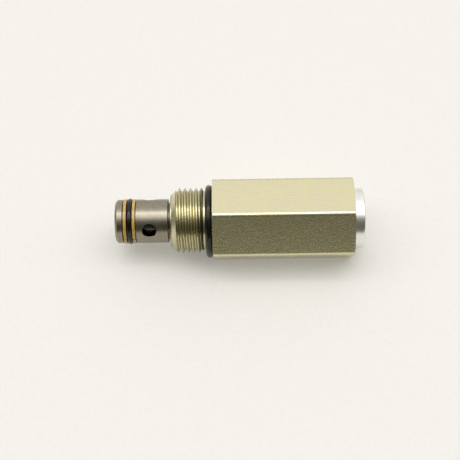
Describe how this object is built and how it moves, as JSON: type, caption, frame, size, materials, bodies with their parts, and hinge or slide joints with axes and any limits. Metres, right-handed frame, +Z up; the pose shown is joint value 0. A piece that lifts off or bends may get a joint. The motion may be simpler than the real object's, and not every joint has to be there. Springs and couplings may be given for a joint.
{
  "type": "screw-in cartridge valve",
  "caption": "Hydraulic screw-in cartridge relief valve with a sealed cross-drilled nose, threaded shank, long hexagon and a push-in end cap over its adjuster.",
  "frame": {"origin": "where the valve's axis meets the hexagon's seating face", "axes": "+X along the valve's axis towards the end cap, -X towards the nose, +Z up with two hexagon flats facing +Z and -Z"},
  "size_m": [0.0715, 0.0252, 0.0222],
  "materials": {
    "plated_steel": "pale olive-gold zinc plate, satin",
    "turned_steel": "fine turned, bright",
    "ground_steel": "ground",
    "spring_steel": "drawn wire",
    "zinc_hardware": "clear zinc plate",
    "black_oxide_steel": "black oxide",
    "brass_mesh": "plain brass",
    "turned_aluminium": "bright turned",
    "seal_rubber": "satin black",
    "backup_ring": "amber, slightly translucent"
  },
  "bodies": {
    "valve_body": {"hex_body": "plated_steel", "cage": "turned_steel", "nose_o_ring": "seal_rubber", "nose_backup_ring_front": "backup_ring", "nose_backup_ring_rear": "backup_ring", "port_o_ring": "seal_rubber", "pilot_seat": "ground_steel", "pilot_seat_o_ring": "seal_rubber", "adjuster_bushing": "zinc_hardware"},
    "spool_group": {"main_spool": "ground_steel", "filter_screen": "brass_mesh", "screen_clip": "spring_steel", "orifice_plug": "brass_mesh", "main_spring": "spring_steel"},
    "poppet": {"pilot_poppet": "ground_steel"},
    "piston_group": {"adjuster_piston": "ground_steel", "adjuster_o_ring": "seal_rubber", "adjuster_backup_ring": "backup_ring", "pilot_spring": "spring_steel"},
    "screw": {"adjusting_screw": "black_oxide_steel"},
    "washer": {"lock_washer": "zinc_hardware"},
    "nut": {"lock_nut": "zinc_hardware"},
    "cap": {"end_cap": "turned_aluminium", "cap_o_ring": "seal_rubber"}
  },
  "joints": [
    {"name": "main_spool_slide", "type": "slide", "parent": "valve_body", "child": "spool_group", "axis": [1, 0, 0], "range_m": [0, 0.004], "stiffness_N_per_m": 1500, "springref_m": -0.004, "deforming": ["main_spring"]},
    {"name": "pilot_poppet_slide", "type": "slide", "parent": "valve_body", "child": "poppet", "axis": [1, 0, 0], "range_m": [0, 0.0005], "stiffness_N_per_m": 2000, "springref_m": -0.002},
    {"name": "adjuster_piston_slide", "type": "slide", "parent": "valve_body", "child": "piston_group", "axis": [1, 0, 0], "range_m": [-0.0025, 0], "deforming": ["pilot_spring"]},
    {"name": "adjusting_screw_turn", "type": "hinge", "parent": "piston_group", "child": "screw", "pos_m": [0.033, 0, 0], "axis": [1, 0, 0], "range_deg": [-900, 0]},
    {"name": "lock_washer_slide", "type": "slide", "parent": "valve_body", "child": "washer", "axis": [1, 0, 0], "range_m": [0, 0.001]},
    {"name": "lock_nut_turn", "type": "hinge", "parent": "washer", "child": "nut", "pos_m": [0.038, 0, 0], "axis": [1, 0, 0], "range_deg": [0, 360]},
    {"name": "end_cap_pull", "type": "slide", "parent": "valve_body", "child": "cap", "axis": [1, 0, 0], "range_m": [0, 0.014]}
  ],
  "couplings": [
    {"joint": "adjusting_screw_turn", "follows": "adjuster_piston_slide", "rad_per_m": 6283.2},
    {"joint": "lock_nut_turn", "follows": "lock_washer_slide", "rad_per_m": 6283.2}
  ]
}
